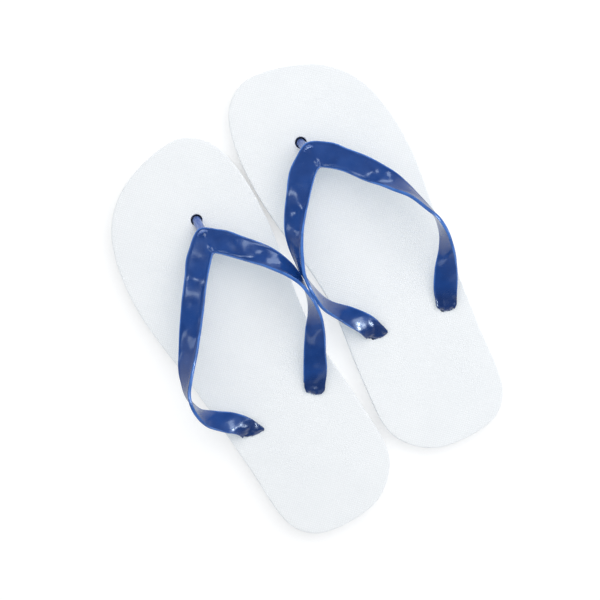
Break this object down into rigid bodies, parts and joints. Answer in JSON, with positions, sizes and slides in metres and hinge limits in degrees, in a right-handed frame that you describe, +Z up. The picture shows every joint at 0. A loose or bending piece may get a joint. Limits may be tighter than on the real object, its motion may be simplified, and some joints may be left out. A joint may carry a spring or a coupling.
{
  "type": "flip flop",
  "caption": "Pair of flat foam flip flops with two bonded sole layers and a one-piece moulded V strap pulled through holes in each sole.",
  "frame": {"origin": "middle of the pair's box, on the floor", "axes": "+X across the pair towards the right shoe, +Y towards the toes, +Z up"},
  "size_m": [0.2048, 0.282, 0.0493],
  "materials": {
    "footbed_foam": "matt, finely embossed closed-cell foam",
    "outsole_foam": "matt, firmer closed-cell foam",
    "strap_vinyl": "glossy soft moulded vinyl"
  },
  "bodies": {
    "left_rear": {"left_footbed_rear": "footbed_foam", "left_outsole_rear": "outsole_foam", "left_strap": "strap_vinyl"},
    "left_toe": {"left_footbed_toe": "footbed_foam", "left_outsole_toe": "outsole_foam"},
    "right_rear": {"right_footbed_rear": "footbed_foam", "right_outsole_rear": "outsole_foam", "right_strap": "strap_vinyl"},
    "right_toe": {"right_footbed_toe": "footbed_foam", "right_outsole_toe": "outsole_foam"}
  },
  "joints": [
    {"name": "pair_spacing", "type": "slide", "parent": "left_rear", "child": "right_rear", "axis": [1, 0, 0], "range_m": [0, 0.1]},
    {"name": "left_toe_flex", "type": "hinge", "parent": "left_rear", "child": "left_toe", "pos_m": [-0.05147, 0.04202, 0.015], "axis": [1, -0.0099, 0], "range_deg": [0, 45], "deforming": ["left_strap"]},
    {"name": "right_toe_flex", "type": "hinge", "parent": "right_rear", "child": "right_toe", "pos_m": [0.05147, 0.05422, 0.015], "axis": [1, 0.0099, 0], "range_deg": [0, 45], "deforming": ["right_strap"]}
  ]
}
